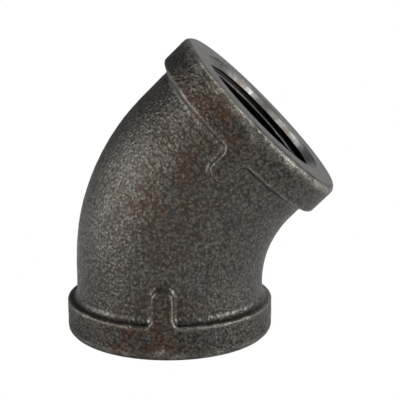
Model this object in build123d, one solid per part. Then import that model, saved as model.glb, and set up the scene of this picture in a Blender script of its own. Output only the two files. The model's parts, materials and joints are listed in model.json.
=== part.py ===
"""A 45 degree banded elbow for 1 inch threaded pipe.

The casting's regions are separate solids that meet face to face. The origin is the centre of the
lower end face, +Z runs up the lower end's axis into the elbow, and the upper end leans to +X.
"""

import os
from math import cos, radians, sin, tan

from build123d import *

# Driving sizes, in millimetres and degrees.
bend_angle = 45.0  # turn from the lower end's axis to the upper end's
centre_to_end = 28.4  # crossing point of the two axes to either end face
thread_crest_diameter = 29.2  # clear diameter inside the tapped thread
thread_wall = 2.4  # thread crest out to the wall of the cored waterway
casting_wall = 3.4  # metal between the waterway and the body's skin
band_rise = 2.1  # how far the bands stand out of the body
band_width = 7.4  # end face to the back edge of a band's rim
shoulder_rise = 1.6  # rim's back edge to where the shoulder has become the body
ledge_rise = 0.4  # slope of the shoulder's ledge, before it hollows up to the body
face_rounding = 1.5  # rounded corner between the end face and the rim
back_rounding = 0.7  # rounded corner between the rim and the shoulder
root_rounding = 1.3  # hollow corner between the shoulder and the body
mouth_chamfer = 2.0  # 45 degree lead-in of each mouth
heel_run = 6.75  # straight skin outside the bend, from shoulder to curve
throat_run = 1.85  # straight skin inside the bend, from shoulder to curve
rib_width = 4.6  # width of the tongues that run on from the bands
rib_tip_rounding = 1.6  # rounded corners of a tongue's tip
lower_rib_length = 7.5  # lower tongues' tips beyond the rim's back edge
upper_rib_length = 6.1  # upper tongues' tips beyond the rim's back edge

# Sizes that follow from them.
crest_radius = thread_crest_diameter / 2
waterway_radius = crest_radius + thread_wall
body_radius = waterway_radius + casting_wall
band_radius = body_radius + band_rise
mouth_radius = crest_radius + mouth_chamfer
shoulder_top = band_width + shoulder_rise
half_turn = tan(radians(bend_angle / 2))

# The heel is the outside of the bend, and the throat is the inside.
heel_tangent = centre_to_end + body_radius * half_turn - shoulder_top - heel_run
throat_tangent = centre_to_end - body_radius * half_turn - shoulder_top - throat_run
heel_radius = heel_tangent / half_turn
throat_radius = throat_tangent / half_turn
waterway_bend_radius = heel_radius - body_radius
thread_length = shoulder_top + heel_run

bend_point = Vector(0, 0, centre_to_end)
upper_axis = Vector(sin(radians(bend_angle)), 0, cos(radians(bend_angle)))
upper_face = bend_point + upper_axis * centre_to_end

# Each end is drawn once with its face at the origin and the elbow above it.
lower_end = Plane.XY
upper_end = Plane(
    origin=upper_face,
    x_dir=upper_axis.cross(Vector(0, 1, 0)),
    z_dir=-upper_axis,
)

skin_sections = 13
front, back = -1, 1


def side_of_body(side):
    """One edge of the skin in the bend plane: up the lower end, round the bend, along the upper."""
    offset = side * body_radius
    start = Vector(offset, 0, shoulder_top)
    corner = bend_point + Vector(offset, 0, -offset * half_turn)
    end = upper_end.from_local_coords(Vector(-offset, 0, shoulder_top))
    rounding = heel_radius if side < 0 else throat_radius
    return FilletPolyline(start, corner, end, radius=rounding)


def make_skin():
    """The body's outside as a solid: ellipses that span the heel and the throat, lofted together."""
    heel = side_of_body(-1)
    throat = side_of_body(1)
    sections = []
    for step in range(skin_sections):
        fraction = step / (skin_sections - 1)
        outer = heel @ fraction
        inner = throat @ fraction
        across = inner - outer
        middle = (inner + outer) / 2
        section = Plane(origin=middle, x_dir=across, z_dir=across.cross(Vector(0, 1, 0)))
        sections.append(section * Ellipse(across.length / 2, body_radius))
    return loft(sections)


def make_waterway():
    """The cored passage from face to face: a round bore that bends with the heel."""
    path = FilletPolyline((0, 0, 0), bend_point, upper_face, radius=waterway_bend_radius)
    return sweep(Circle(waterway_radius), path=path)


def make_mouth():
    """The cone that leads a pipe into an end."""
    return make_ring([(0, 0), (mouth_radius, 0), (crest_radius, mouth_chamfer), (0, mouth_chamfer)])


def make_ring(corners):
    """Turn an outline given as (radius, height) corners about the end's axis."""
    outline = Polyline(*corners, close=True)
    return revolve(Plane.XZ * make_face(outline), axis=Axis.Z)


def make_band():
    """The thick ring round an end, with rounded corners and a shoulder that hollows to the body."""
    outside = FilletPolyline(
        (waterway_radius, 0),
        (band_radius, 0),
        (band_radius, band_width),
        (body_radius, band_width + ledge_rise),
        (body_radius, shoulder_top),
        radius=[face_rounding, back_rounding, root_rounding],
    )
    inside = Polyline((body_radius, shoulder_top), (waterway_radius, shoulder_top), (waterway_radius, 0))
    ring = revolve(Plane.XZ * make_face(outside + inside), axis=Axis.Z)
    return ring - make_mouth()


def make_thread():
    """The tapped thread as a sleeve whose bore is the clear diameter at the thread's crests."""
    sleeve = make_ring(
        [
            (crest_radius, 0),
            (waterway_radius, 0),
            (waterway_radius, thread_length),
            (crest_radius, thread_length),
        ]
    )
    return sleeve - make_mouth()


def make_rib(side, end_plane, length, band, skin):
    """A tongue on the body, level with the band's rim and rounded at its tip."""
    start = band_width / 2
    reach = band_width + length - start
    outline = RectangleRounded(rib_width, reach, rib_tip_rounding, align=(Align.CENTER, Align.MIN))
    middle_of_wall = body_radius - casting_wall / 2
    wall = Plane(origin=(0, side * middle_of_wall, 0), x_dir=(-side, 0, 0), z_dir=(0, side, 0))
    tongue = extrude(wall * Pos(0, start) * outline, band_radius)
    rim = Cylinder(band_radius, band_width + 2 * length, align=(Align.CENTER, Align.CENTER, Align.MIN))
    return end_plane * ((tongue & rim) - band) - skin


def main():
    """Build each region of the casting and write it to its own file."""
    band = make_band()
    thread = make_thread()
    skin = make_skin()
    waterway = make_waterway()
    regions = {
        "elbow_body": skin - waterway,
        "lower_band": lower_end * band,
        "upper_band": upper_end * band,
        "lower_thread": lower_end * thread,
        "upper_thread": upper_end * thread,
        "lower_rib_front": make_rib(front, lower_end, lower_rib_length, band, skin),
        "lower_rib_back": make_rib(back, lower_end, lower_rib_length, band, skin),
        "upper_rib_front": make_rib(front, upper_end, upper_rib_length, band, skin),
        "upper_rib_back": make_rib(back, upper_end, upper_rib_length, band, skin),
    }
    os.makedirs("parts", exist_ok=True)
    for name, region in regions.items():
        export_step(region, f"parts/{name}.step")


main()
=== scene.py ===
"""A black iron elbow for screwed pipe: as-cast skin, faced ends and tapped taper threads.

The casting's outside is one surface worked out on a grid. Each region of the casting is a piece
of its own that takes its patch of that grid, so neighbours share the points along their border.
"""

import json
import math

import bpy
import numpy as np
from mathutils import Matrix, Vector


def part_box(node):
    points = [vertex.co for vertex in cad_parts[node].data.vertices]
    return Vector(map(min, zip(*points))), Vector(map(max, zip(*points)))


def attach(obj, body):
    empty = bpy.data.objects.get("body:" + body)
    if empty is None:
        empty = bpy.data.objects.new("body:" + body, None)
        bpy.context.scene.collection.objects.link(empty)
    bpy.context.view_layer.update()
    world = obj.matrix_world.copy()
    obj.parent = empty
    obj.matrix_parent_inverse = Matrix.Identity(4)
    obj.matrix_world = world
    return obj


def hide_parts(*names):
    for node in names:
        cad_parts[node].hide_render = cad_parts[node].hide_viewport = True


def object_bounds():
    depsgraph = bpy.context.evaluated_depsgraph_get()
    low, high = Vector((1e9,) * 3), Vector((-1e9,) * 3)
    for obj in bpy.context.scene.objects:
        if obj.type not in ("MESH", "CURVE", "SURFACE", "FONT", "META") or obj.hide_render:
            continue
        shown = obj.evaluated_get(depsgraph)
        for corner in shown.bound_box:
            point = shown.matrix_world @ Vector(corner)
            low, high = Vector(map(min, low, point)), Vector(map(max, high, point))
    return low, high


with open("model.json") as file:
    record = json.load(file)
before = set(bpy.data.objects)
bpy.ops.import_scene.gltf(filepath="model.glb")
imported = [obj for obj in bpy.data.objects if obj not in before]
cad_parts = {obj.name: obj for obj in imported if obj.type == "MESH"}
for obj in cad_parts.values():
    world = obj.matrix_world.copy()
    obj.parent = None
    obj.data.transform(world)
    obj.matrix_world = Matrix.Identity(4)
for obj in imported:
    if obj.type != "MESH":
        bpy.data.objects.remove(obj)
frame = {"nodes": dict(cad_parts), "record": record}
cad_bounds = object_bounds()

MM = 0.001

# Sizes read from the frame, in metres.
mounts = {mount["name"]: mount for mount in frame["record"]["mounts"]}
upper_face = np.array(mounts["upper_face"]["pos_m"])
upper_axis = np.array(mounts["upper_face"]["axis"])
band_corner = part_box("lower_band")[1]
thread_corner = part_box("lower_thread")[1]
lower_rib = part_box("lower_rib_front")[1]

bend_angle = math.acos(upper_axis[2])
centre_to_end = upper_face[0] / math.sin(bend_angle)
band_radius = band_corner.y
shoulder_top = band_corner.z
body_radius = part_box("elbow_body")[1].y
waterway_radius = thread_corner.y
thread_length = thread_corner.z
crest_radius = mounts["lower_thread"]["dims"]["r_mm"] * MM
mouth_depth = thread_length - mounts["lower_thread"]["dims"]["length_mm"] * MM
mouth_radius = crest_radius + mouth_depth
rib_half_width = lower_rib.x
part_middle = (cad_bounds[0] + cad_bounds[1]) / 2

# The casting's own roundings and runs.
shoulder_rise = 1.6 * MM  # rim's back edge to where the shoulder has become the body
ledge_rise = 0.4 * MM  # rise of the shoulder's ledge between the rim's back edge and the body
face_rounding = 1.5 * MM  # corner between the end face and the rim
back_rounding = 0.7 * MM  # corner between the rim and the shoulder
root_rounding = 1.3 * MM  # hollow corner between the shoulder and the body
mouth_rounding = 0.35 * MM  # broken edge between the end face and the mouth
lip_depth = 0.4 * MM  # how far the band's piece follows the lead-in before the thread's takes over
throat_run = 1.85 * MM  # straight skin inside the bend before its curve
rib_tip_rounding = 1.6 * MM  # rounded corners of a tongue's tip
rib_wall = 1.2 * MM  # width over which a tongue falls to the body
rib_flare = 1.8 * MM  # hollow corners in plan where a tongue leaves the band
rib_reach = 5.8 * MM  # half the width of the patch that holds a tongue
hidden_depth = 0.2 * MM  # a tongue's underside below the plain skin; what it covers is twice as deep

# How finely the meshes are made.
outline_spacing = 0.28 * MM  # between the rows of a band
tongue_columns, gap_columns = 82, 120  # over each line of tongues, and between the two lines
tongue_rows, middle_rows = 54, 70  # over the tongues at each end, and over the body between
bore_rows = 9
bend_rows = 26  # of the waterway's bend
thread_columns = 300
thread_spacing = 0.095 * MM  # between the rows of a thread
lip_rows, sleeve_rows = 6, 5  # of a thread's inner end, and of its outside
sharp_angle = math.radians(55)  # between faces that meet in a sharp edge

# Unevenness of the cast surfaces: mean depth, wavelength and seed.
skin_relief = [
    (0.05 * MM, 13 * MM, 3),  # slow waves
    (0.022 * MM, 3.2 * MM, 5),  # sand-mould lumps
    (0.016 * MM, 1.15 * MM, 7),  # coarse grain
]
core_relief = (0.05 * MM, 2.1 * MM, 11)
core_painted_light = 0.6  # share of the hollow corners' painted light, paler grain, that the waterway has
faced_depths = (0.02 * MM, 0.45 * MM)  # from fully faced metal to fully cast skin

# Rust stains: x, y, z and size, in millimetres.
rust_places = [
    (-1, 20, 29, 7),
    (4, 20, 42, 5),
    (7, 20, 48, 5),
    (10, 21, 57, 5),
    (-6, 22, 3, 6),
    (1, 22, 10, 4),
]

# The taper thread: 11.5 threads to the inch, 60 degree flanks, 1 in 16 on the diameter.
thread_pitch = 25.4 * MM / 11.5
thread_height = 0.8 * thread_pitch  # depth of a groove
thread_taper = 1 / 32  # loss of radius with depth
thread_flat = 0.06  # share of the pitch that is flat at a crest and at a root
groove_softness = 0.06  # rounding of the crests' and roots' corners, as a share of the depth
runout_turns = 2.4  # turns over which the tap's lead leaves the grooves shallower
tap_clearance = 0.9 * MM  # from the last groove to the thread's inner end
lead_in_depths = (0.5, 1.15)  # shares of the lead-in over which the grooves reach their depth
thread_starts = {"lower": 2.2, "upper": 6.2}  # where round each mouth the groove begins

half_turn = math.tan(bend_angle / 2)
band_width = shoulder_top - shoulder_rise
heel_run = thread_length - shoulder_top
heel_radius = (centre_to_end + body_radius * half_turn - thread_length) / half_turn
throat_radius = (centre_to_end - body_radius * half_turn - shoulder_top - throat_run) / half_turn
waterway_bend = heel_radius - body_radius

ACROSS = np.array([0.0, 1.0, 0.0])
lower_end = (np.zeros(3), np.array([1.0, 0.0, 0.0]), np.array([0.0, 0.0, 1.0]))
upper_end = (upper_face, np.cross(upper_axis, ACROSS), -upper_axis)
ends = {"lower": lower_end, "upper": upper_end}


# ---------------------------------------------------------------- shared shapes


def place(end, radius, angle, height):
    """Points in the part's frame from an end's radius and angle, and the height into the elbow."""
    origin, side, inward = end
    radius, angle, height = (np.asarray(v)[..., None] for v in (radius, angle, height))
    return origin + radius * (np.cos(angle) * side + np.sin(angle) * ACROSS) + height * inward


def measure(end, points):
    """The radius, angle and height of points about an end's axis: the reverse of place()."""
    origin, side, inward = end
    offset = points - origin
    x = offset @ side
    y = offset @ ACROSS
    return np.hypot(x, y), np.arctan2(y, x), offset @ inward


def reach_of(node, end):
    """How far a CAD node reaches into the elbow from an end's face."""
    vertices = frame["nodes"][node].data.vertices
    points = np.empty(len(vertices) * 3)
    vertices.foreach_get("co", points)
    return measure(end, points.reshape(-1, 3))[2].max()


def smooth_step(value, low, high):
    """0 below low and 1 above high, with the curve 3t^2 - 2t^3 between."""
    t = np.clip((value - low) / (high - low), 0, 1)
    return t * t * (3 - 2 * t)


def rounded_outline(corners, roundings, spacing):
    """Points about one spacing apart along straight runs joined by arcs, and how each one bends.

    An arc of radius r at a corner that turns by t leaves the first run r tan(t/2) before it. Its
    points are the corner's two unit directions turned through shares of t, in six steps or more,
    a little closer than on a run. The bend is 1 on an arc to the left, which is a raised edge,
    -1 on one to the right, and 0 on a run.
    """
    corners = [np.array(corner, float) for corner in corners]
    path, bends = [corners[0][None]], [np.zeros(1)]
    here = corners[0]
    for before, corner, after, radius in zip(corners, corners[1:], corners[2:], roundings):
        incoming = (corner - before) / np.linalg.norm(corner - before)
        outgoing = (after - corner) / np.linalg.norm(after - corner)
        turn = math.atan2(
            incoming[0] * outgoing[1] - incoming[1] * outgoing[0], incoming @ outgoing
        )
        start = corner - incoming * radius * abs(math.tan(turn / 2))
        run_steps = max(1, round(np.linalg.norm(start - here) / spacing))
        shares = np.linspace(0, 1, run_steps + 1)[1:, None]
        path.append(here + (start - here) * shares)
        bends.append(np.zeros(run_steps))
        arc_steps = max(6, round(radius * abs(turn) / (0.7 * spacing)))
        angles = np.linspace(0, turn, arc_steps + 1)[1:, None]
        side = np.sign(turn) * radius
        normal = np.array([-incoming[1], incoming[0]])
        path.append(start + side * (np.sin(angles) * incoming + (1 - np.cos(angles)) * normal))
        bends.append(np.full(arc_steps, np.sign(turn)))
        here = path[-1][-1]
    run_steps = max(1, round(np.linalg.norm(corners[-1] - here) / spacing))
    path.append(here + (corners[-1] - here) * np.linspace(0, 1, run_steps + 1)[1:, None])
    bends.append(np.zeros(run_steps))
    return np.concatenate(path), np.concatenate(bends)


def waves(points, wavelength, seed, count=42):
    """Even bumps about one wavelength apart, mostly within -1 to 1.

    It is the sum of sine waves of random direction and phase, with lengths up to a third either
    side of the wavelength, over the root of half their count.
    """
    chance = np.random.default_rng(seed)
    directions = chance.normal(size=(count, 3))
    directions /= np.linalg.norm(directions, axis=1, keepdims=True)
    lengths = wavelength * chance.uniform(0.67, 1.33, count)
    phases = chance.uniform(0, 2 * np.pi, count)
    total = np.zeros(points.shape[:-1])
    for direction, length, phase in zip(directions, lengths, phases):
        total += np.sin(points @ (direction * 2 * np.pi / length) + phase)
    return total / math.sqrt(2 * count)


def cast_relief(points):
    """How far the skin lies below its pattern: each relief's depth times one plus its waves."""
    total = np.zeros(points.shape[:-1])
    for depth, wavelength, seed in skin_relief:
        total += depth * (1 + waves(points, wavelength, seed))
    return np.maximum(total, 0)


def rusty_places(points):
    """How rusty the skin is: a soft round stain about each place, on the front and on the back.

    A stain is e to the minus half the square of distance over its size, and the stains add up.
    """
    mirrored = np.abs(points[..., 1:2])
    points = np.concatenate([points[..., :1], mirrored, points[..., 2:]], axis=-1)
    total = np.zeros(points.shape[:-1])
    for x, y, z, size in rust_places:
        distance = np.linalg.norm(points - np.array([x, y, z]) * MM, axis=-1)
        total += np.exp(-0.5 * (distance / (size * MM)) ** 2)
    return np.minimum(total, 1)


def soften(mask, passes):
    """A softer mask: each pass averages every value with its two neighbours."""
    mask = mask * 1.0
    for _ in range(passes):
        padded = np.concatenate([mask[:1], mask, mask[-1:]])
        mask = (padded[:-2] + 2 * padded[1:-1] + padded[2:]) / 4
    return mask


def grid_normals(points):
    """Unit normals of a grid that closes round its columns, from its steps both ways."""
    along = np.gradient(points, axis=0)
    around = np.roll(points, -1, axis=1) - np.roll(points, 1, axis=1)
    normals = np.cross(around, along)
    return normals / np.maximum(np.linalg.norm(normals, axis=2, keepdims=True), 1e-12)


rib_tips = {name: reach_of(f"{name}_rib_front", end) for name, end in ends.items()}


# ---------------------------------------------------------------- the casting's outside


def column_angles():
    """Angles of the grid's columns, closer together over the two lines of tongues.

    It returns the angles and the first and last column of each tongue's patch.
    """
    reach = rib_reach / band_radius
    fine, coarse = tongue_columns, gap_columns
    stretches = []
    for middle in (-np.pi / 2, np.pi / 2):
        stretches.append(np.linspace(middle - reach, middle + reach, fine, endpoint=False))
        gap = (middle + reach, middle + np.pi - reach)
        stretches.append(np.linspace(*gap, coarse, endpoint=False))
    patches = {"front": (0, fine), "back": (fine + coarse, 2 * fine + coarse)}
    return np.concatenate(stretches), patches


def band_outline():
    """A band's outside from its mouth to the body: (radius, height) points and how they bend."""
    corners = [
        (mouth_radius - lip_depth, lip_depth),
        (mouth_radius, 0),
        (band_radius, 0),
        (band_radius, band_width),
        (body_radius, band_width + ledge_rise),
        (body_radius, shoulder_top),
    ]
    roundings = [mouth_rounding, face_rounding, back_rounding, root_rounding]
    return rounded_outline(corners, roundings, outline_spacing)


def side_of_body(side, fraction):
    """The skin's heel (side -1) or throat (side 1) in the bend plane, at a share of its length.

    It runs straight from the lower shoulder, round an arc, and straight to the upper shoulder.
    """
    radius, run = (heel_radius, heel_run) if side < 0 else (throat_radius, throat_run)
    distance = fraction * (2 * run + radius * bend_angle)
    turned = np.clip((distance - run) / radius, 0, bend_angle)
    straight = np.minimum(distance, run)
    beyond = np.maximum(distance - run - radius * bend_angle, 0)
    x = side * body_radius + radius * (1 - np.cos(turned)) + beyond * upper_axis[0]
    z = shoulder_top + straight + radius * np.sin(turned) + beyond * upper_axis[2]
    return np.stack([x, np.zeros_like(x), z], axis=-1)


def body_fractions():
    """Shares of the skin's length for its rows, closer together along the tongues."""
    heel_length = 2 * heel_run + heel_radius * bend_angle
    throat_length = 2 * throat_run + throat_radius * bend_angle
    tongue_end = max(rib_tips.values()) + rib_wall + rib_flare
    tongue = (tongue_end - shoulder_top) / ((heel_length + throat_length) / 2)
    near = np.linspace(0, tongue, tongue_rows, endpoint=False)
    middle = np.linspace(tongue, 1 - tongue, middle_rows, endpoint=False)
    far = np.linspace(1 - tongue, 1, tongue_rows + 1)
    return np.concatenate([near, middle, far])


def body_skin(fractions, angles):
    """The bent skin: each row is an ellipse that spans heel to throat and is one body wide."""
    heel = side_of_body(-1, fractions)[:, None]
    throat = side_of_body(1, fractions)[:, None]
    angle = angles[None, :, None]
    spoke = (throat - heel) / 2 * np.cos(angle) + body_radius * np.sin(angle) * ACROSS
    return (heel + throat) / 2 + spoke


def level_past_band(height, from_middle, tip):
    """The height on a plain band at which the skin stands as high as it does here, near a tongue.

    In plan a tongue is a strip whose tip has rounded corners. Distances past the strip's outline
    count as distances past the band's rim, stretched because a tongue's wall is steeper. The
    smaller of the two counts, and where both are small they join on a circle of the flare's radius.
    """
    aside = np.abs(from_middle) - (rib_half_width - rib_tip_rounding)
    beyond = height - (tip - rib_tip_rounding)
    corner = np.hypot(np.maximum(aside, 0), np.maximum(beyond, 0))
    past_strip = corner + np.minimum(np.maximum(aside, beyond), 0) - rib_tip_rounding
    past_strip = past_strip * shoulder_rise / rib_wall
    past_rim = height - band_width
    near = np.hypot(np.maximum(rib_flare - past_strip, 0), np.maximum(rib_flare - past_rim, 0))
    return band_width + np.maximum(rib_flare, np.minimum(past_strip, past_rim)) - near


class Outside:
    """The casting's outside on one grid, from the lower mouth to the upper mouth.

    It has a plain base, the same raised to the tongues, and the skin, which is the raised grid
    less its unit normals times the cast relief. Its masks are 1 on a worn edge, on the ledge,
    where shade is painted, in a hollow corner, where light is painted, on faced metal and on a
    rust stain, and reach is the distance to the end's axis in millimetres.
    """

    def __init__(self):
        self.angles, self.patches = column_angles()
        outline, bends = band_outline()
        radius, height = outline[:, :1], outline[:, 1:]
        lower = place(lower_end, radius, self.angles[None], height)
        upper = place(upper_end, radius, np.pi - self.angles[None], height)
        skin = body_skin(body_fractions(), self.angles)
        self.band_rows = len(outline)
        self.base = np.concatenate([lower, skin[1:-1], upper[::-1]])
        self.rows = len(self.base)
        self.first_rib_row = int(np.argmax(outline[:, 1] > band_width - 2 * back_rounding))
        on_rim = outline[:, 0] > (mouth_radius + band_radius) / 2
        before_hollow = np.cumsum(bends < 0) == 0
        on_ledge = (outline[:, 1] > band_width) & (bends == 0) & before_hollow
        # The ledge gets painted shade, and the hollow corners get painted light.
        bands = {
            "edge": soften((bends > 0) & on_rim, 2),
            "ledge": soften(on_ledge, 2),
            "hollow": soften(bends < 0, 3),
        }
        faced = 1 - smooth_step(outline[:, 1], *faced_depths)
        faced[: np.argmax(outline[:, 0] > mouth_radius)] = 1
        self.edge = self.along_rows(bands["edge"])
        self.ledge = self.along_rows(bands["ledge"])
        self.hollow = self.along_rows(bands["hollow"])
        self.faced = self.along_rows(faced)
        self.reach = self.along_rows(outline[:, 0] / MM)
        self.add_tongues(outline, bands)
        self.rusty = rusty_places(self.raised)
        relief = cast_relief(self.raised) * (1 - self.faced)
        self.skin = self.raised - grid_normals(self.raised) * relief[..., None]

    def along_rows(self, values):
        """A band's values row by row at both ends of the grid, and zero between."""
        middle = np.zeros(self.rows - 2 * len(values))
        column = np.concatenate([values, middle, values[::-1]])
        return np.repeat(column[:, None], len(self.angles), axis=1)

    def add_tongues(self, outline, bands):
        """Lift the skin to the tongues, away from the end's axis, with the masks round them."""
        self.raised = self.base.copy()
        radii, heights = outline[:, 0], outline[:, 1]
        half = self.rows // 2
        for name, rows in (("lower", slice(0, half)), ("upper", slice(half, self.rows))):
            end = ends[name]
            radius, angle, height = measure(end, self.base[rows])
            from_middle = band_radius * (np.abs(angle) - np.pi / 2)
            level = level_past_band(height, from_middle, rib_tips[name])
            raised = (np.interp(level, heights, radii) - body_radius) / (band_radius - body_radius)
            foot = np.minimum(radius, body_radius)
            past_face = height > face_rounding
            touched = past_face & (level < shoulder_top)
            lifted = np.maximum(foot + (band_radius - foot) * raised - radius, 0) * touched
            outward = place(end, np.ones_like(angle), angle, np.zeros_like(angle)) - end[0]
            self.raised[rows] += lifted[..., None] * outward
            for mask_name, values in bands.items():
                mask = getattr(self, mask_name)
                mask[rows] = np.where(past_face, np.interp(level, heights, values), mask[rows])

    def rib_rows(self, end_name):
        """First and last grid row of the tongues' patches at an end."""
        last = self.band_rows - 1 + tongue_rows
        if end_name == "lower":
            return self.first_rib_row, last
        return self.rows - 1 - last, self.rows - 1 - self.first_rib_row

    def masks(self, rows, columns=slice(None)):
        """The named masks of a part of the grid."""
        names = ("edge", "ledge", "hollow", "faced", "reach", "rusty")
        return {name: getattr(self, name)[rows, columns] for name in names}

    def under_tongues(self):
        """The skin without its tongues: sunk inside each patch, unchanged on its border."""
        skin = self.skin.copy()
        for end_name, end in ends.items():
            first, last = self.rib_rows(end_name)
            for start, stop in self.patches.values():
                inner = (slice(first + 1, last), slice(start + 1, stop))
                radius, angle, height = measure(end, self.base[inner])
                skin[inner] = place(end, radius - 2 * hidden_depth, angle, height)
        return skin


# ---------------------------------------------------------------- meshes


def make_piece(name, node, material, points, faces, masks):
    """A smooth mesh that rides on the part and stands for a CAD node.

    Faces that turn a closed shell inside out are all reversed: the sum over the faces of centre
    dot area vector is three times the volume, and has to be above zero.
    """
    corners = points[faces]
    area = np.cross(corners[:, 2] - corners[:, 0], corners[:, 3] - corners[:, 1]) / 2
    if np.sum(corners.mean(axis=1) * area) < 0:
        faces = faces[:, ::-1]
    mesh = bpy.data.meshes.new(name)
    mesh.vertices.add(len(points))
    mesh.vertices.foreach_set("co", points.astype(np.float32).ravel())
    mesh.loops.add(faces.size)
    mesh.loops.foreach_set("vertex_index", faces.astype(np.int32).ravel())
    mesh.polygons.add(len(faces))
    mesh.polygons.foreach_set("loop_start", np.arange(0, faces.size, 4, dtype=np.int32))
    mesh.update(calc_edges=True)
    mesh.validate()
    mesh.polygons.foreach_set("use_smooth", np.ones(len(mesh.polygons), dtype=bool))
    mesh.set_sharp_from_angle(angle=sharp_angle)
    for mask_name, values in masks.items():
        attribute = mesh.attributes.new(mask_name, "FLOAT", "POINT")
        attribute.data.foreach_set("value", values.astype(np.float32).ravel())
    mesh.materials.append(material)
    piece = bpy.data.objects.new(name, mesh)
    bpy.context.scene.collection.objects.link(piece)
    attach(piece, "root")
    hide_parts(node)


def tube_faces(rows, columns):
    """Faces of a grid that closes both round its columns and from its last row to its first."""
    index = np.arange(rows * columns).reshape(rows, columns)
    down = np.roll(index, -1, axis=0)
    quads = (index, np.roll(index, -1, axis=1), np.roll(down, -1, axis=1), down)
    return np.stack(quads, axis=-1).reshape(-1, 4)


def add_rows(masks, count):
    """The masks of a grid, with rows of zeros below for its hidden or plain part."""
    longer = {}
    for name, values in masks.items():
        longer[name] = np.concatenate([values, np.zeros((count, values.shape[1]))])
    return longer


def pillow_faces(rows, columns):
    """Faces of two open grids of the same size, the second one below, joined round their border."""
    top = np.arange(rows * columns).reshape(rows, columns)
    bottom = top + rows * columns
    quads = []
    for grid, step in ((top, 1), (bottom, -1)):
        cells = (grid[:-1, :-1], grid[:-1, 1:], grid[1:, 1:], grid[1:, :-1])
        quads.append(np.stack(cells[::step], axis=-1).reshape(-1, 4))
    border = [grid_border(top), grid_border(bottom)]
    following = [np.roll(loop, -1) for loop in border]
    quads.append(np.stack([border[1], following[1], following[0], border[0]], axis=-1))
    return np.concatenate(quads)


def grid_border(grid):
    """The points round a grid's border, in the order of its first row."""
    return np.concatenate([grid[0, :-1], grid[:-1, -1], grid[-1, :0:-1], grid[:0:-1, 0]])


def make_band(outside, end_name, end, skin, material):
    """A band: its outside from the shared grid, and a plain bore that the thread's sleeve fills."""
    rows = slice(0, outside.band_rows) if end_name == "lower" else slice(-outside.band_rows, None)
    grid, masks = skin[rows], outside.masks(rows)
    if end_name == "upper":
        grid, masks = grid[::-1], {name: values[::-1] for name, values in masks.items()}
    _, angle, _ = measure(end, grid[0])
    heights = np.linspace(shoulder_top, lip_depth, bore_rows)[:, None]
    bore = place(end, np.full_like(heights, waterway_radius), angle[None], heights)
    points = np.concatenate([grid, bore])
    faces = tube_faces(len(points), grid.shape[1])
    masks = add_rows(masks, len(bore))
    node = f"{end_name}_band"
    make_piece(f"cast_{node}", node, material, points.reshape(-1, 3), faces, masks)


def waterway(angles):
    """The cored passage from the upper shoulder to the lower: circles round its centre line.

    The centre line is straight past each thread and an arc between them. The arc's surface
    carries the core's own coarse relief.
    """
    in_bend = np.zeros(bend_rows)
    beyond = np.concatenate([[heel_run, heel_run / 2], in_bend, [0, 0]])
    before = np.concatenate([[0, 0], in_bend, [heel_run / 2, heel_run]])
    turned = np.linspace(bend_angle, 0, bend_rows)
    turned = np.concatenate([[bend_angle] * 2, turned, [0] * 2])[:, None, None]
    towards = np.concatenate([np.cos(turned), np.zeros_like(turned), -np.sin(turned)], axis=2)
    x = waterway_bend * (1 - np.cos(turned)) + beyond[:, None, None] * upper_axis[0]
    z = thread_length + waterway_bend * np.sin(turned) + beyond[:, None, None] * upper_axis[2]
    z = z - before[:, None, None]
    centre = np.concatenate([x, np.zeros_like(x), z], axis=2)
    angle = angles[None, :, None]
    spoke = np.cos(angle) * towards + np.sin(angle) * ACROSS
    bare = (beyond + before == 0)[:, None]
    depth, wavelength, seed = core_relief
    relief = depth * (1 + waves(centre + waterway_radius * spoke, wavelength, seed)) * bare
    return centre + (waterway_radius + relief[..., None]) * spoke


def make_body(outside, skin, material):
    """The bent body: the skin between the bands, and the cored waterway inside it."""
    rows = slice(outside.band_rows - 1, outside.rows - outside.band_rows + 1)
    grid = skin[rows]
    inner = waterway(outside.angles)
    points = np.concatenate([grid, inner]).reshape(-1, 3)
    faces = tube_faces(len(grid) + len(inner), grid.shape[1])
    masks = add_rows(outside.masks(rows), len(inner))
    # The waterway gets a share of the painted light of the hollow corners.
    masks["hollow"][len(grid):] = core_painted_light
    make_piece("cast_body", "elbow_body", material, points, faces, masks)


def make_rib(outside, end_name, end, side, material):
    """A tongue: its patch of the shared grid, closed by a plain underside just below the skin."""
    first, last = outside.rib_rows(end_name)
    start, stop = outside.patches[side]
    patch = (slice(first, last + 1), slice(start, stop + 1))
    top = outside.skin[patch]
    radius, angle, height = measure(end, outside.base[patch])
    bottom = place(end, radius - hidden_depth, angle, height)
    faces = pillow_faces(*top.shape[:2])
    masks = add_rows(outside.masks(*patch), top.shape[0])
    points = np.concatenate([top.reshape(-1, 3), bottom.reshape(-1, 3)])
    node = f"{end_name}_rib_{side}"
    make_piece(f"cast_{node}", node, material, points, faces, masks)


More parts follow.
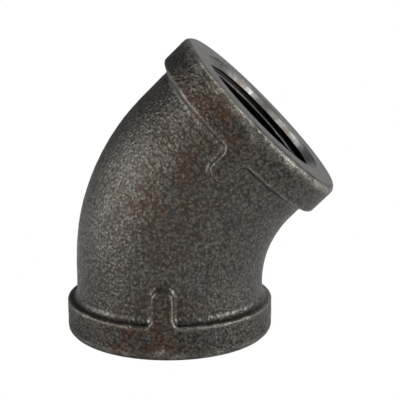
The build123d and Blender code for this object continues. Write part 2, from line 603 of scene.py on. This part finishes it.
def make_thread(end_name, end, start_angle, material):
    """A tapped mouth: a 45 degree lead-in, then a right-hand taper thread, in a plain sleeve.

    The bore's radius is the larger of the lead-in's cone and the thread's surface. The thread is
    the crest's radius plus a triangle wave of depth over pitch minus angle, with its points
    blunted. The crest gets smaller with depth by the taper. The groove grows along the lead-in
    and fades out in its last turns.
    """
    angle = np.linspace(0, 2 * np.pi, thread_columns, endpoint=False)[None]
    bore_end = thread_length - tap_clearance
    depth = np.arange(lip_depth, bore_end, thread_spacing)[:, None]
    crest = crest_radius + (thread_length / 2 - depth) * thread_taper
    phase = np.mod(depth / thread_pitch - (angle - start_angle) / (2 * np.pi), 1)
    wave = (0.5 - np.abs(phase - 0.5)) * 2 - 0.5
    blunt = wave / (1 - 2 * thread_flat)
    from_root = np.hypot(blunt + 0.5, groove_softness)
    from_crest = np.hypot(blunt - 0.5, groove_softness)
    groove = 0.5 + (from_root - from_crest) / 2
    fade = np.clip((bore_end - depth) / (runout_turns * thread_pitch), 0, 1)
    fade = fade * smooth_step(depth / mouth_depth, *lead_in_depths)
    cone = mouth_radius - depth
    thread = crest + thread_height * groove * fade
    radius = np.maximum(thread, cone)
    bore = place(end, *np.broadcast_arrays(radius, angle, depth))

    share = np.linspace(0, 1, lip_rows + 1)[1:, None]
    lip_radius = crest[-1] + (waterway_radius - crest[-1]) * share**1.5
    lip_height = bore_end + tap_clearance * share
    lip = place(end, *np.broadcast_arrays(lip_radius, angle, lip_height))
    heights = np.linspace(thread_length, lip_depth, sleeve_rows + 1)[1:, None]
    sleeve = place(end, *np.broadcast_arrays(waterway_radius, angle, heights))
    points = np.concatenate([bore, lip, sleeve])
    faces = tube_faces(len(points), thread_columns)

    # Painted shade on the flank nearer the mouth, only at the bottom of the one that faces it.
    on_cone = cone >= thread
    near_flank, facing_flank = smooth_step(groove, 0.15, 0.7), smooth_step(groove, 0.75, 1)
    painted_thread_shade = np.where(phase < 0.55, near_flank, facing_flank)
    first_turn = 1 - smooth_step(depth, mouth_depth + thread_pitch / 2, mouth_depth + thread_pitch)
    masks = {
        "edge": np.where(on_cone, 0, np.exp(-((groove / 0.12) ** 2))),
        "hollow": np.where(on_cone, 0, np.maximum(painted_thread_shade, first_turn)),
        "lead": on_cone * 1.0,
        "reach": radius / MM,
    }
    masks = add_rows(masks, len(lip) + len(sleeve))
    points, node = points.reshape(-1, 3), f"{end_name}_thread"
    make_piece(f"tapped_{node}", node, material, points, faces, masks)


# ---------------------------------------------------------------- shader helpers


class Nodes:
    """Short ways to add and link shader nodes in one tree."""

    def __init__(self, tree):
        self.tree = tree

    def add(self, kind, links=None, **settings):
        """A node with its plain properties set and its inputs, by name or number, fed."""
        node = self.tree.nodes.new(kind)
        for name, value in settings.items():
            setattr(node, name, value)
        for name, value in (links or {}).items():
            self.feed(node.inputs[name], value)
        return node

    def feed(self, socket, value):
        """Link an output to a socket, or set the socket's own value."""
        if isinstance(value, bpy.types.NodeSocket):
            self.tree.links.new(value, socket)
        else:
            socket.default_value = value

    def math(self, operation, *values, clamp=False):
        """What a sum, product or other operation on some values gives."""
        links = dict(enumerate(values))
        return self.add("ShaderNodeMath", links, operation=operation, use_clamp=clamp).outputs[0]

    def noise(self, where, scale, detail=2.0, roughness=0.5, distortion=0.0):
        """A cloudy noise in space, with its values about 0.5."""
        links = {
            "Vector": where,
            "Scale": scale,
            "Detail": detail,
            "Roughness": roughness,
            "Distortion": distortion,
        }
        return self.add("ShaderNodeTexNoise", links, noise_dimensions="3D").outputs[0]

    def between(self, value, low, high, to_low=0.0, to_high=1.0):
        """A value carried smoothly from one range to another and held at its ends."""
        links = {0: value, 1: low, 2: high, 3: to_low, 4: to_high}
        node = self.add("ShaderNodeMapRange", links, interpolation_type="SMOOTHSTEP")
        return node.outputs[0]

    def mix(self, share, first, second):
        """One colour going over to another."""
        node = self.add("ShaderNodeMix", data_type="RGBA", clamp_factor=True)
        self.feed(node.inputs[0], share)
        self.feed(node.inputs[6], first)
        self.feed(node.inputs[7], second)
        return node.outputs[2]

    def attribute(self, name):
        """One of the piece's own masks."""
        return self.add("ShaderNodeAttribute", attribute_name=name).outputs["Fac"]


def linear(red, green, blue):
    """A colour given as screen values from 0 to 255, as the shader wants it."""
    share = np.array([red, green, blue]) / 255
    value = np.where(share <= 0.04045, share / 12.92, ((share + 0.055) / 1.055) ** 2.4)
    return (*value.tolist(), 1.0)


# Sizes of the finest patterns.
grain_size = 0.76 * MM
specks = 3600.0  # to the metre
wavers, scratches = 260.0, 1900.0  # of the tool marks, to the metre
facing_pitch, tapping_pitch = 0.34, 0.21  # between the rings of the tool marks, in millimetres

colours = {
    "black oxide": linear(77, 75, 72),
    "dusty oxide": linear(89, 87, 83),
    "rust": linear(78, 58, 44),
    "pits": linear(42, 37, 33),
    # Painted light in the hollow corners.
    "grain tops": linear(134, 131, 123),
    "hollow corner": linear(104, 102, 98),
    # Painted shade on the ledge behind each rim.
    "ledge": linear(38, 34, 30),
    "worn edge": linear(176, 172, 163),
    "bare face": linear(103, 103, 101),
    "stained face": linear(90, 87, 82),
    "cut iron": linear(98, 95, 90),
    "stained cut": linear(72, 65, 57),
    # Painted shade in the thread's grooves.
    "painted_thread_shade": linear(30, 28, 25),
    "lead-in": linear(134, 136, 137),
    "stained lead-in": linear(98, 93, 86),
    "worn crest": linear(172, 172, 168),
}


def new_group(name, inputs, outputs):
    """An empty node group with its sockets: its helper, its input node and its output node."""
    group = bpy.data.node_groups.new(name, "ShaderNodeTree")
    for direction, sockets in (("INPUT", inputs), ("OUTPUT", outputs)):
        for socket_name, kind in sockets.items():
            kind = "NodeSocket" + kind
            group.interface.new_socket(socket_name, in_out=direction, socket_type=kind)
    nodes = Nodes(group)
    return group, nodes, nodes.add("NodeGroupInput").outputs, nodes.add("NodeGroupOutput").inputs


def grain_group():
    """Sand-mould grain: rounded lumps about one size apart, broken up by an uneven noise.

    A lump's height falls from its middle to its border as the distance to the nearest of some
    scattered points. The tops are the share of it that stands highest, and the pits the lowest.
    """
    group, nodes, given, put = new_group(
        "cast grain",
        {"Position": "Vector", "Size": "Float"},
        {"Height": "Float", "Tops": "Float", "Pits": "Float"},
    )
    scale = nodes.math("DIVIDE", 1.0, given["Size"])
    links = {0: given["Position"], "Scale": scale}
    in_grains = nodes.add("ShaderNodeVectorMath", links, operation="SCALE").outputs[0]
    links = {"Vector": in_grains, "Scale": 1.0, "Smoothness": 0.5}
    lumps = nodes.add("ShaderNodeTexVoronoi", links, feature="SMOOTH_F1")
    lump = nodes.between(lumps.outputs["Distance"], 0.8, 0.1)
    lump = nodes.math("MULTIPLY", lump, 0.3)
    uneven = nodes.math("MULTIPLY", nodes.noise(in_grains, 1.5), 1.05)
    height = nodes.math("ADD", lump, uneven)
    nodes.feed(put["Height"], height)
    nodes.feed(put["Tops"], nodes.between(height, 0.62, 0.98))
    nodes.feed(put["Pits"], nodes.between(height, 0.68, 0.42))
    return group


def patches_group():
    """Blotches: a slow noise warped by a second one, cut to a mask with soft ragged edges."""
    group, nodes, given, put = new_group(
        "blotches",
        {"Position": "Vector", "Size": "Float", "Level": "Float", "Softness": "Float"},
        {"Mask": "Float"},
    )
    scale = nodes.math("DIVIDE", 1.0, given["Size"])
    slow = nodes.noise(given["Position"], scale, detail=5.0, roughness=0.58, distortion=0.4)
    low = nodes.math("SUBTRACT", given["Level"], given["Softness"])
    high = nodes.math("ADD", given["Level"], given["Softness"])
    nodes.feed(put["Mask"], nodes.between(slow, low, high))
    return group


def tool_marks_group():
    """Tool marks: rings about the end's axis, as sines of the distance to it, and scratches."""
    group, nodes, given, put = new_group(
        "tool marks",
        {"Position": "Vector", "Reach": "Float", "Pitch": "Float"},
        {"Height": "Float"},
    )
    turns = nodes.math("DIVIDE", given["Reach"], given["Pitch"])
    waver = nodes.noise(given["Position"], wavers)
    turns = nodes.math("ADD", turns, nodes.math("MULTIPLY", waver, 0.8))
    ring = nodes.math("SINE", nodes.math("MULTIPLY", turns, 2 * math.pi))
    scratch = nodes.noise(given["Position"], scratches, detail=4.0, roughness=0.65)
    nodes.feed(put["Height"], nodes.math("ADD", nodes.math("MULTIPLY", ring, 0.3), scratch))
    return group


def new_material(name):
    """An empty material: its helper, its shader and the piece's own coordinates."""
    material = bpy.data.materials.new(name)
    material.use_nodes = True
    material.node_tree.nodes.clear()
    nodes = Nodes(material.node_tree)
    shader = nodes.add("ShaderNodeBsdfPrincipled")
    nodes.add("ShaderNodeOutputMaterial", {"Surface": shader.outputs[0]})
    position = nodes.add("ShaderNodeTexCoord").outputs["Object"]
    return material, nodes, shader, position


def use(nodes, group, **links):
    """A group placed in a material with its own values."""
    node = nodes.add("ShaderNodeGroup", node_tree=group)
    for name, value in links.items():
        nodes.feed(node.inputs[name.capitalize()], value)
    return node.outputs


def cast_skin(groups):
    """Black-oxide cast iron: grey grain, pale tops, brown rust stains, worn edges, bare faces."""
    material, nodes, shader, position = new_material("black cast iron skin")
    edge, ledge, hollow = (nodes.attribute(name) for name in ("edge", "ledge", "hollow"))
    faced, reach, rusty = (nodes.attribute(name) for name in ("faced", "reach", "rusty"))
    grain = use(nodes, groups["grain"], position=position, size=grain_size)
    fine = nodes.noise(position, specks, roughness=0.6)
    patches = groups["patches"]
    stain = use(nodes, patches, position=position, size=3.4 * MM, level=0.5, softness=0.12)
    dust = use(nodes, patches, position=position, size=5 * MM, level=0.5, softness=0.16)
    rubbed = use(nodes, patches, position=position, size=3 * MM, level=0.5, softness=0.12)
    marks = use(nodes, groups["marks"], position=position, reach=reach, pitch=facing_pitch)
    cast = nodes.math("SUBTRACT", 1.0, faced, clamp=True)
    rust = nodes.math("ADD", nodes.math("MULTIPLY", rusty, 0.9), 0.22, clamp=True)
    rust = nodes.math("MULTIPLY", rust, nodes.between(stain["Mask"], 0.0, 1.0, 0.3, 1.0))

    colour = nodes.mix(dust["Mask"], colours["black oxide"], colours["dusty oxide"])
    colour = nodes.mix(rust, colour, colours["rust"])
    pits = nodes.math("MULTIPLY", nodes.math("MULTIPLY", grain["Pits"], cast), 0.85)
    colour = nodes.mix(pits, colour, colours["pits"])
    tops = nodes.math("MULTIPLY", grain["Tops"], cast)
    # Painted light: hollow corners get a paler grey and more of the pale grain tops.
    top_share = nodes.math("ADD", nodes.math("MULTIPLY", hollow, 0.4), 0.42)
    tops = nodes.math("MULTIPLY", tops, top_share)
    colour = nodes.mix(nodes.math("MULTIPLY", hollow, 0.35), colour, colours["hollow corner"])
    colour = nodes.mix(tops, colour, colours["grain tops"])
    # Painted shade: the ledge behind each rim is darkened.
    colour = nodes.mix(nodes.math("MULTIPLY", ledge, 0.9), colour, colours["ledge"])
    worn = nodes.math("MULTIPLY", edge, nodes.between(fine, 0.3, 0.7), clamp=True)
    worn = nodes.math("MULTIPLY", worn, nodes.between(rubbed["Mask"], 0.0, 1.0, 0.3, 1.0))
    colour = nodes.mix(worn, colour, colours["worn edge"])
    bare = nodes.mix(rubbed["Mask"], colours["stained face"], colours["bare face"])
    colour = nodes.mix(nodes.math("MULTIPLY", faced, 0.85), colour, bare)
    nodes.feed(shader.inputs["Base Color"], colour)

    rough = nodes.math("SUBTRACT", 0.41, nodes.math("MULTIPLY", tops, 0.1))
    rough = nodes.math("ADD", rough, nodes.math("MULTIPLY", rust, 0.12))
    nodes.feed(shader.inputs["Roughness"], rough)
    shine = nodes.math("SUBTRACT", 0.85, nodes.math("MULTIPLY", rust, 0.2))
    nodes.feed(shader.inputs["Metallic"], shine)

    height = nodes.math("ADD", grain["Height"], nodes.math("MULTIPLY", fine, 0.2))
    height = nodes.math("MULTIPLY", height, cast)
    cut = nodes.math("MULTIPLY", marks["Height"], nodes.math("MULTIPLY", faced, 0.16))
    links = {"Height": nodes.math("ADD", height, cut), "Strength": 1.0, "Distance": 0.16 * MM}
    nodes.feed(shader.inputs["Normal"], nodes.add("ShaderNodeBump", links).outputs[0])
    return material


def cut_thread(groups):
    """Cut iron: a clean bright lead-in, grey crests, painted shade on the first turn and roots."""
    material, nodes, shader, position = new_material("cut iron thread")
    names = ("edge", "hollow", "lead", "reach")
    edge, hollow, lead, reach = (nodes.attribute(name) for name in names)
    marks = use(nodes, groups["marks"], position=position, reach=reach, pitch=tapping_pitch)
    stain = use(nodes, groups["patches"], position=position, size=4 * MM, level=0.52, softness=0.14)

    colour = nodes.mix(stain["Mask"], colours["cut iron"], colours["stained cut"])
    # Painted shade on the thread's flanks, roots and first turn.
    colour = nodes.mix(nodes.math("MULTIPLY", hollow, 0.85), colour, colours["painted_thread_shade"])
    lead_in = nodes.mix(stain["Mask"], colours["lead-in"], colours["stained lead-in"])
    colour = nodes.mix(lead, colour, lead_in)
    worn = nodes.math("MULTIPLY", edge, nodes.between(marks["Height"], 0.2, 0.8), clamp=True)
    colour = nodes.mix(nodes.math("MULTIPLY", worn, 0.7), colour, colours["worn crest"])
    nodes.feed(shader.inputs["Base Color"], colour)

    rough = nodes.math("ADD", nodes.math("MULTIPLY", stain["Mask"], 0.16), 0.32)
    rough = nodes.math("SUBTRACT", rough, nodes.math("MULTIPLY", lead, 0.06))
    nodes.feed(shader.inputs["Roughness"], rough)
    shine = nodes.math("SUBTRACT", 0.85, nodes.math("MULTIPLY", hollow, 0.5))
    nodes.feed(shader.inputs["Metallic"], shine)

    links = {"Height": marks["Height"], "Strength": 0.5, "Distance": 0.03 * MM}
    nodes.feed(shader.inputs["Normal"], nodes.add("ShaderNodeBump", links).outputs[0])
    return material


# ---------------------------------------------------------------- studio

# Azimuth and elevation in degrees, and power in watts.
softboxes = {
    "left softbox": (270, 15, 1.0),
    "left front softbox": (300, 15, 1.15),
    "right softbox": (86, 15, 2.1),
    "top softbox": (112, 65, 1.6),
    "back softbox": (166, 6, 0.25),
    "right fill": (60, 4, 0.5),
    "low front fill": (0, -10, 0.8),
    "softbox below": (0, -70, 1.5),
}
room_strength = 0.06

band_diameter = 2 * band_radius
camera_target = (0.1484 * band_diameter, 0, 0.6421 * band_diameter)
camera_azimuth, camera_elevation = 2.81, 14.16
camera_distance = 0.2762
camera_lens = 114.65


def add_floor():
    """A plain pale sheet, turned up at its edge; the camera sees it evenly white from above.

    It is a flat ring round the lower mouth, then a quarter circle upwards. Its underside lets
    every ray through, so that the part can be looked at and lit from below.
    """
    material = bpy.data.materials.new("pale paper")
    material.use_nodes = True
    material.node_tree.nodes.clear()
    nodes = Nodes(material.node_tree)
    paper = nodes.add("ShaderNodeBsdfDiffuse", {"Color": (0.86, 0.86, 0.86, 1)})
    glow = nodes.add("ShaderNodeEmission", {"Color": (1, 1, 1, 1), "Strength": 1.0})
    seen = nodes.add("ShaderNodeLightPath").outputs["Is Camera Ray"]
    mix = nodes.add("ShaderNodeMixShader", {0: seen, 1: paper.outputs[0], 2: glow.outputs[0]})
    under = nodes.add("ShaderNodeNewGeometry").outputs["Backfacing"]
    clear = nodes.add("ShaderNodeBsdfTransparent")
    sheet = nodes.add("ShaderNodeMixShader", {0: under, 1: mix.outputs[0], 2: clear.outputs[0]})
    nodes.add("ShaderNodeOutputMaterial", {"Surface": sheet.outputs[0]})
    hole, near, flat, turn_up = band_radius - face_rounding, 0.2, 1.3, 0.3
    sides, turn_rows = 72, 10
    angle = np.linspace(0, 2 * np.pi, sides, endpoint=False)[None]
    turned = np.linspace(0, math.pi / 2, turn_rows)
    distance = np.concatenate([[hole, near], flat + turn_up * np.sin(turned)])[:, None]
    height = np.concatenate([[0, 0], turn_up - turn_up * np.cos(turned)])[:, None]
    x, y = distance * np.cos(angle), distance * np.sin(angle)
    points = np.stack([x, y, height + 0 * angle], axis=-1)
    index = np.arange(angle.size * len(distance)).reshape(len(distance), -1)
    aside = np.roll(index, -1, axis=1)
    faces = np.stack([index[:-1], index[1:], aside[1:], aside[:-1]], axis=-1).reshape(-1, 4)
    mesh = bpy.data.meshes.new("paper_sweep")
    mesh.from_pydata(points.reshape(-1, 3).tolist(), [], faces.tolist())
    mesh.materials.append(material)
    floor = bpy.data.objects.new("paper_sweep", mesh)
    bpy.context.scene.collection.objects.link(floor)


def direction_from(azimuth, elevation):
    """The unit direction out of the part at an azimuth and elevation in degrees.

    Azimuth 0 is towards -Y and azimuth 90 towards +X.
    """
    around, up = math.radians(azimuth), math.radians(elevation)
    level = math.cos(up)
    return Vector((math.sin(around) * level, -math.cos(around) * level, math.sin(up)))


def add_softbox(name, azimuth, elevation, power, size=0.35, distance=0.6):
    """A square soft light that faces the part's middle."""
    data = bpy.data.lights.new(name, "AREA")
    data.shape, data.size, data.energy = "SQUARE", size, power
    light = bpy.data.objects.new(name, data)
    away = direction_from(azimuth, elevation)
    light.location = Vector(part_middle) + away * distance
    light.rotation_mode = "QUATERNION"
    light.rotation_quaternion = away.to_track_quat("Z", "Y")
    bpy.context.scene.collection.objects.link(light)


def white_studio(strength):
    """A white room: faint as a light, and full white where the camera sees past the paper."""
    world = bpy.data.worlds.new("white studio")
    world.use_nodes = True
    world.node_tree.nodes.clear()
    nodes = Nodes(world.node_tree)
    seen = nodes.add("ShaderNodeLightPath").outputs["Is Camera Ray"]
    light = nodes.add("ShaderNodeMapRange", {0: seen, 3: strength, 4: 1.0}).outputs[0]
    room = nodes.add("ShaderNodeBackground", {"Color": (1, 1, 1, 1), "Strength": light})
    nodes.add("ShaderNodeOutputWorld", {"Surface": room.outputs[0]})
    return world


def add_camera(target, azimuth, elevation, distance, lens):
    """A camera that looks at the target from an azimuth and elevation in degrees."""
    data = bpy.data.cameras.new("camera")
    data.lens, data.sensor_width = lens, 36.0
    data.clip_start, data.clip_end = 0.01, 20.0
    camera = bpy.data.objects.new("camera", data)
    away = direction_from(azimuth, elevation)
    camera.location = Vector(target) + away * distance
    camera.rotation_mode = "QUATERNION"
    camera.rotation_quaternion = away.to_track_quat("Z", "Y")
    bpy.context.scene.collection.objects.link(camera)
    bpy.context.scene.camera = camera


# ---------------------------------------------------------------- making the elbow


groups = {"grain": grain_group(), "patches": patches_group(), "marks": tool_marks_group()}
skin_iron = cast_skin(groups)
thread_iron = cut_thread(groups)

outside = Outside()
sunk_skin = outside.under_tongues()
make_body(outside, sunk_skin, skin_iron)
for end_name, end in ends.items():
    make_band(outside, end_name, end, sunk_skin, skin_iron)
    make_thread(end_name, end, thread_starts[end_name], thread_iron)
    for side in ("front", "back"):
        make_rib(outside, end_name, end, side, skin_iron)

add_floor()
for name, (azimuth, elevation, power) in softboxes.items():
    add_softbox(name, azimuth, elevation, power)
bpy.context.scene.world = white_studio(room_strength)
bpy.context.scene.view_settings.view_transform = "Standard"
add_camera(camera_target, camera_azimuth, camera_elevation, camera_distance, camera_lens)
